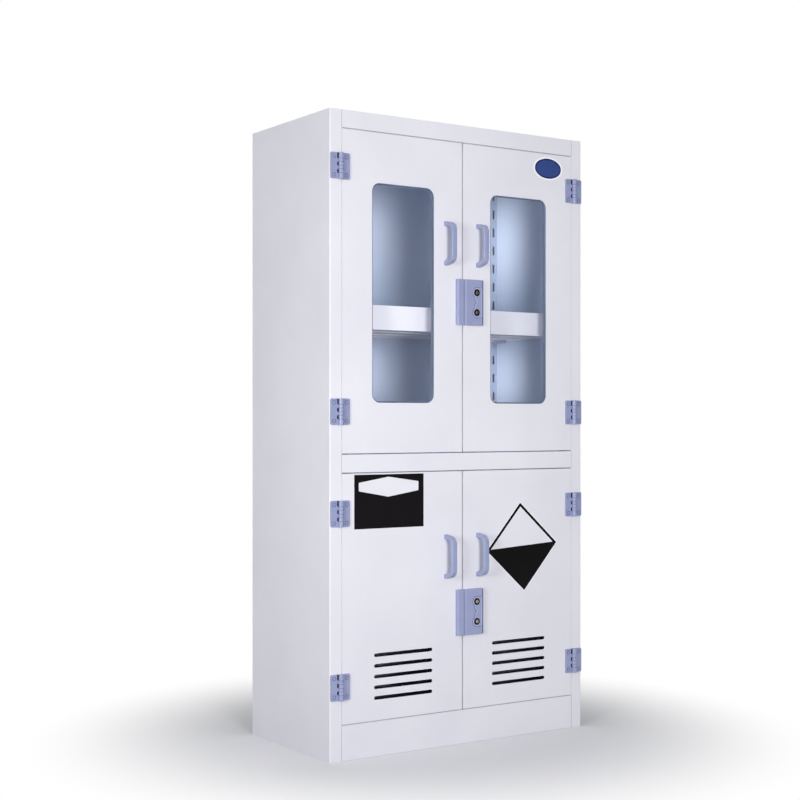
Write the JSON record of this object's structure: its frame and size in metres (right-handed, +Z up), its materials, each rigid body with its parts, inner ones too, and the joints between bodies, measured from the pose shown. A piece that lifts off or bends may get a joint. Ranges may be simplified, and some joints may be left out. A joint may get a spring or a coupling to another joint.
{
  "type": "reagent cabinet",
  "caption": "Tall free-standing plastic storage cabinet with glazed doors above louvred doors, on pin hinges, with bow handles, key locks and lift-out tray shelves.",
  "frame": {"origin": "on the floor at the centre of the cabinet's footprint, 225 mm behind the closed door faces", "axes": "+X to the right of someone facing the doors, +Y to the back, +Z up"},
  "size_m": [0.9, 0.493, 1.8],
  "materials": {
    "pp_sheet": "white polypropylene sheet, fine orange-peel, satin",
    "pp_hardware": "blue-grey moulded polypropylene, satin",
    "clear_acrylic": "clear cast sheet, polished",
    "seal_rubber": "grey-blue moulded seal, matt",
    "stainless_steel": "brushed",
    "brass": "turned, satin",
    "black_zinc": "black plated die casting"
  },
  "bodies": {
    "cabinet": {"left_side_panel": "pp_sheet", "right_side_panel": "pp_sheet", "top_panel": "pp_sheet", "mid_deck": "pp_sheet", "bottom_deck": "pp_sheet", "plinth_board": "pp_sheet", "plinth_rib": "pp_sheet", "back_panel": "pp_sheet", "door_stops": "pp_sheet", "left_front_post": "pp_sheet", "left_rear_post": "pp_sheet", "right_front_post": "pp_sheet", "right_rear_post": "pp_sheet", "shelf_clips": "pp_hardware", "upper_left_frame_hinges": "pp_hardware", "upper_right_frame_hinges": "pp_hardware", "lower_left_frame_hinges": "pp_hardware", "lower_right_frame_hinges": "pp_hardware", "hinge_pins": "stainless_steel", "frame_hinge_screws": "stainless_steel"},
    "upper_shelf": {"upper_shelf": "pp_sheet"},
    "lower_shelf": {"lower_shelf": "pp_sheet"},
    "upper_left_door": {"upper_left_door_skin": "pp_sheet", "upper_left_door_liner": "pp_sheet", "upper_left_window_pane": "clear_acrylic", "upper_left_window_bead": "seal_rubber", "upper_left_handle": "pp_hardware", "upper_left_door_hinges": "pp_hardware", "upper_left_door_screws": "stainless_steel", "upper_lock_strike": "pp_hardware"},
    "upper_right_door": {"upper_right_door_skin": "pp_sheet", "upper_right_door_liner": "pp_sheet", "upper_right_window_pane": "clear_acrylic", "upper_right_window_bead": "seal_rubber", "upper_right_handle": "pp_hardware", "upper_right_door_hinges": "pp_hardware", "upper_right_door_screws": "stainless_steel", "upper_lock_case": "pp_hardware", "upper_lock_housings": "black_zinc"},
    "lower_left_door": {"lower_left_door_skin": "pp_sheet", "lower_left_door_liner": "pp_sheet", "lower_left_handle": "pp_hardware", "lower_left_door_hinges": "pp_hardware", "lower_left_door_screws": "stainless_steel", "lower_lock_strike": "pp_hardware"},
    "lower_right_door": {"lower_right_door_skin": "pp_sheet", "lower_right_door_liner": "pp_sheet", "lower_right_handle": "pp_hardware", "lower_right_door_hinges": "pp_hardware", "lower_right_door_screws": "stainless_steel", "lower_lock_case": "pp_hardware", "lower_lock_housings": "black_zinc"},
    "upper_lock_top_plug": {"upper_lock_top_plug": "brass"},
    "upper_lock_top_bolt": {"upper_lock_top_bolt": "stainless_steel"},
    "upper_lock_bottom_plug": {"upper_lock_bottom_plug": "brass"},
    "upper_lock_bottom_bolt": {"upper_lock_bottom_bolt": "stainless_steel"},
    "lower_lock_top_plug": {"lower_lock_top_plug": "brass"},
    "lower_lock_top_bolt": {"lower_lock_top_bolt": "stainless_steel"},
    "lower_lock_bottom_plug": {"lower_lock_bottom_plug": "brass"},
    "lower_lock_bottom_bolt": {"lower_lock_bottom_bolt": "stainless_steel"}
  },
  "joints": [
    {"name": "upper_left_door_hinge", "type": "hinge", "parent": "cabinet", "child": "upper_left_door", "pos_m": [-0.418, -0.2325, 1.30425], "axis": [0, 0, -1], "range_deg": [0, 175]},
    {"name": "upper_right_door_hinge", "type": "hinge", "parent": "cabinet", "child": "upper_right_door", "pos_m": [0.418, -0.2325, 1.30425], "axis": [0, 0, 1], "range_deg": [0, 175]},
    {"name": "lower_left_door_hinge", "type": "hinge", "parent": "cabinet", "child": "lower_left_door", "pos_m": [-0.418, -0.2325, 0.44475], "axis": [0, 0, -1], "range_deg": [0, 175]},
    {"name": "lower_right_door_hinge", "type": "hinge", "parent": "cabinet", "child": "lower_right_door", "pos_m": [0.418, -0.2325, 0.44475], "axis": [0, 0, 1], "range_deg": [0, 175]},
    {"name": "upper_lock_top_plug_turn", "type": "hinge", "parent": "upper_right_door", "child": "upper_lock_top_plug", "pos_m": [0.042, -0.225, 1.314], "axis": [0, -1, 0], "range_deg": [0, 90]},
    {"name": "upper_lock_top_bolt_slide", "type": "slide", "parent": "upper_right_door", "child": "upper_lock_top_bolt", "axis": [-1, 0, 0], "range_m": [0, 0.0099]},
    {"name": "upper_lock_bottom_plug_turn", "type": "hinge", "parent": "upper_right_door", "child": "upper_lock_bottom_plug", "pos_m": [0.042, -0.225, 1.256], "axis": [0, -1, 0], "range_deg": [0, 90]},
    {"name": "upper_lock_bottom_bolt_slide", "type": "slide", "parent": "upper_right_door", "child": "upper_lock_bottom_bolt", "axis": [-1, 0, 0], "range_m": [0, 0.0099]},
    {"name": "lower_lock_top_plug_turn", "type": "hinge", "parent": "lower_right_door", "child": "lower_lock_top_plug", "pos_m": [0.042, -0.225, 0.4125], "axis": [0, -1, 0], "range_deg": [0, 90]},
    {"name": "lower_lock_top_bolt_slide", "type": "slide", "parent": "lower_right_door", "child": "lower_lock_top_bolt", "axis": [-1, 0, 0], "range_m": [0, 0.0099]},
    {"name": "lower_lock_bottom_plug_turn", "type": "hinge", "parent": "lower_right_door", "child": "lower_lock_bottom_plug", "pos_m": [0.042, -0.225, 0.3545], "axis": [0, -1, 0], "range_deg": [0, 90]},
    {"name": "lower_lock_bottom_bolt_slide", "type": "slide", "parent": "lower_right_door", "child": "lower_lock_bottom_bolt", "axis": [-1, 0, 0], "range_m": [0, 0.0099]},
    {"name": "upper_shelf_lift", "type": "slide", "parent": "cabinet", "child": "upper_shelf", "axis": [0, 0, 1], "range_m": [0, 0.1]},
    {"name": "lower_shelf_lift", "type": "slide", "parent": "cabinet", "child": "lower_shelf", "axis": [0, 0, 1], "range_m": [0, 0.1]}
  ],
  "couplings": [
    {"joint": "upper_lock_top_plug_turn", "follows": "upper_lock_top_bolt_slide", "rad_per_m": 158.66},
    {"joint": "upper_lock_bottom_plug_turn", "follows": "upper_lock_bottom_bolt_slide", "rad_per_m": 158.66},
    {"joint": "lower_lock_top_plug_turn", "follows": "lower_lock_top_bolt_slide", "rad_per_m": 158.66},
    {"joint": "lower_lock_bottom_plug_turn", "follows": "lower_lock_bottom_bolt_slide", "rad_per_m": 158.66}
  ]
}
